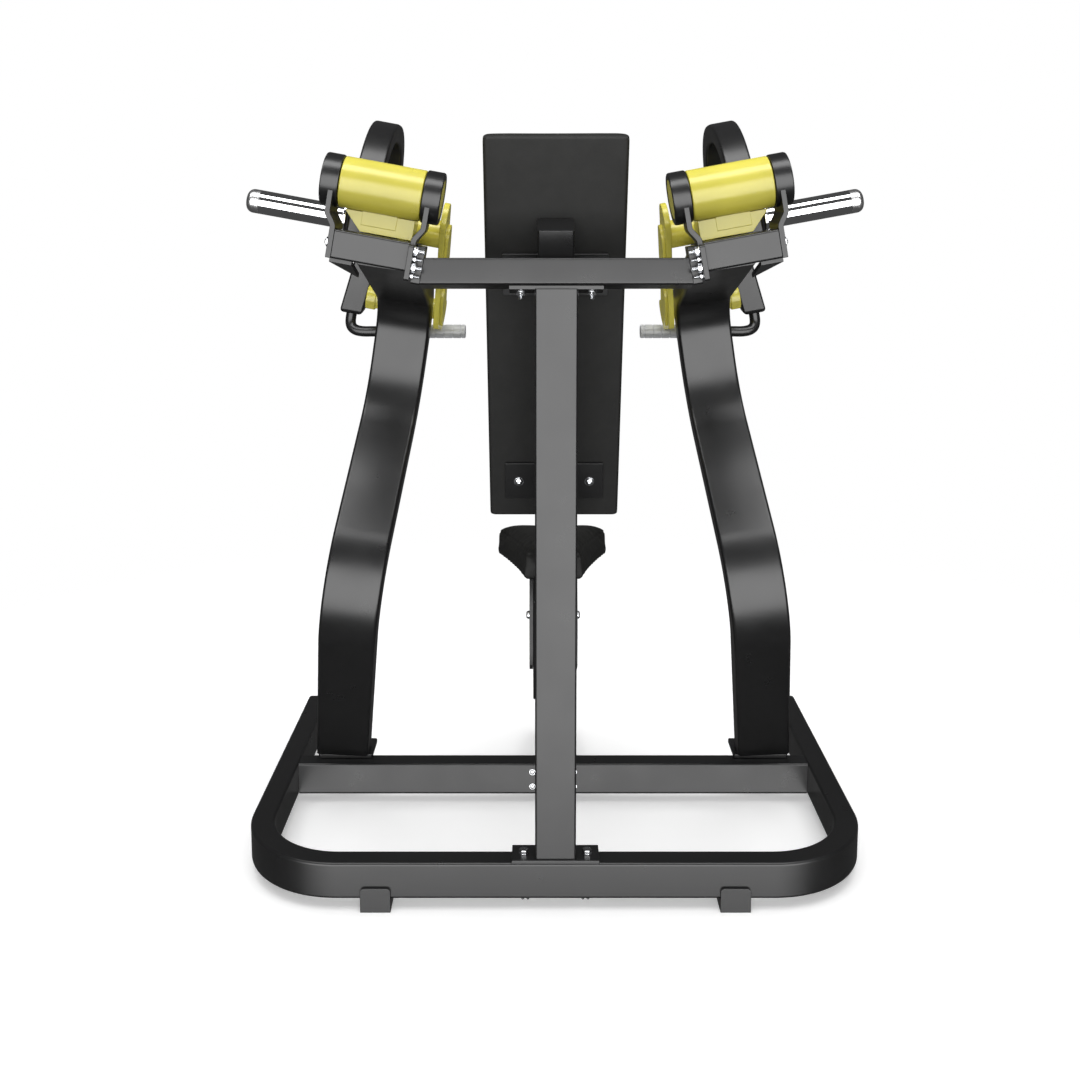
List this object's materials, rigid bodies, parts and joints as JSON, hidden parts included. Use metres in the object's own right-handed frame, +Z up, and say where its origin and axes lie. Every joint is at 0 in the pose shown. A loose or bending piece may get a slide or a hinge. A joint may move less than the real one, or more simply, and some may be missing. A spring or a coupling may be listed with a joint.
{
  "type": "chest press machine",
  "caption": "Plate-loaded gym chest press: U-shaped steel base, leaning S-curved uprights, reclined back pad, sliding seat and a hinged press arm with weight horn on each side.",
  "frame": {"origin": "on the floor, at the centre of the overall width and length", "axes": "+Z up; +Y the way the seated user faces and presses; +X to the right of someone standing behind the machine and looking along +Y"},
  "size_m": [1.28, 0.8631, 1.5584],
  "materials": {
    "black_paint": "satin black powder coat with a fine orange-peel texture",
    "yellow_paint": "satin yellow powder coat",
    "horn_chrome": "polished chrome tube with a satin rounded end",
    "grip_grey": "light grey ribbed grip",
    "zinc": "bright zinc plate",
    "pad_vinyl": "matt black vinyl upholstery",
    "black_rubber": "matt black rubber"
  },
  "bodies": {
    "frame": {"back_pad": "pad_vinyl", "base_crossbar": "black_paint", "base_frame": "black_paint", "centre_beam": "black_paint", "front_foot": "black_rubber", "front_rail_foot_l": "black_rubber", "front_rail_foot_r": "black_rubber", "head_block_l": "black_paint", "head_block_r": "black_paint", "head_gusset_l": "black_paint", "head_gusset_r": "black_paint", "head_plate_inner_l": "black_paint", "head_plate_inner_r": "black_paint", "head_plate_outer_l": "black_paint", "head_plate_outer_r": "black_paint", "lower_pad_plate": "black_paint", "pad_spine": "black_paint", "post_base_plate": "black_paint", "post_top_plate": "black_paint", "rear_foot_clip_l": "black_paint", "rear_foot_clip_r": "black_paint", "rear_post": "black_paint", "rest_stop_l": "black_rubber", "rest_stop_r": "black_rubber", "spine_saddle": "black_paint", "top_bar": "black_paint", "top_bar_flange_l": "black_paint", "top_bar_flange_r": "black_paint", "upper_pad_plate": "black_paint", "upright_foot_plate_l": "black_paint", "upright_foot_plate_r": "black_paint", "upright_l": "black_paint", "upright_r": "black_paint"},
    "left_arm": {"arm_arch_l": "black_paint", "arm_cross_tube_l": "yellow_paint", "arm_front_tube_l": "yellow_paint", "arm_lever_l": "yellow_paint", "arm_side_bar_l": "yellow_paint", "handle_grip_l": "grip_grey", "handle_tube_l": "black_paint", "pivot_shaft_l": "yellow_paint", "pivot_tube_l": "yellow_paint", "weight_horn_l": "horn_chrome"},
    "right_arm": {"arm_arch_r": "black_paint", "arm_cross_tube_r": "yellow_paint", "arm_front_tube_r": "yellow_paint", "arm_lever_r": "yellow_paint", "arm_side_bar_r": "yellow_paint", "handle_grip_r": "grip_grey", "handle_tube_r": "black_paint", "pivot_shaft_r": "yellow_paint", "pivot_tube_r": "yellow_paint", "weight_horn_r": "horn_chrome"},
    "seat": {"seat_sleeve": "black_paint", "seat_plate_l": "black_paint", "seat_plate_r": "black_paint", "seat_bolt": "zinc", "seat_pad": "pad_vinyl"},
    "lock_pin": {"seat_pin": "black_rubber"}
  },
  "joints": [
    {"name": "left_arm_press", "type": "hinge", "parent": "frame", "child": "left_arm", "pos_m": [-0.3205, -0.37185, 1.407], "axis": [0.9839, 0, -0.1788], "range_deg": [0, 40]},
    {"name": "right_arm_press", "type": "hinge", "parent": "frame", "child": "right_arm", "pos_m": [0.3205, -0.37185, 1.407], "axis": [0.9839, 0, 0.1788], "range_deg": [0, 40]},
    {"name": "seat_height", "type": "slide", "parent": "frame", "child": "seat", "axis": [0, -0.3239, 0.9461], "range_m": [-0.12, 0.05]},
    {"name": "lock_pin_pull", "type": "slide", "parent": "seat", "child": "lock_pin", "axis": [0, 0.9461, 0.3239], "range_m": [0, 0.012], "stiffness_N_per_m": 800}
  ]
}
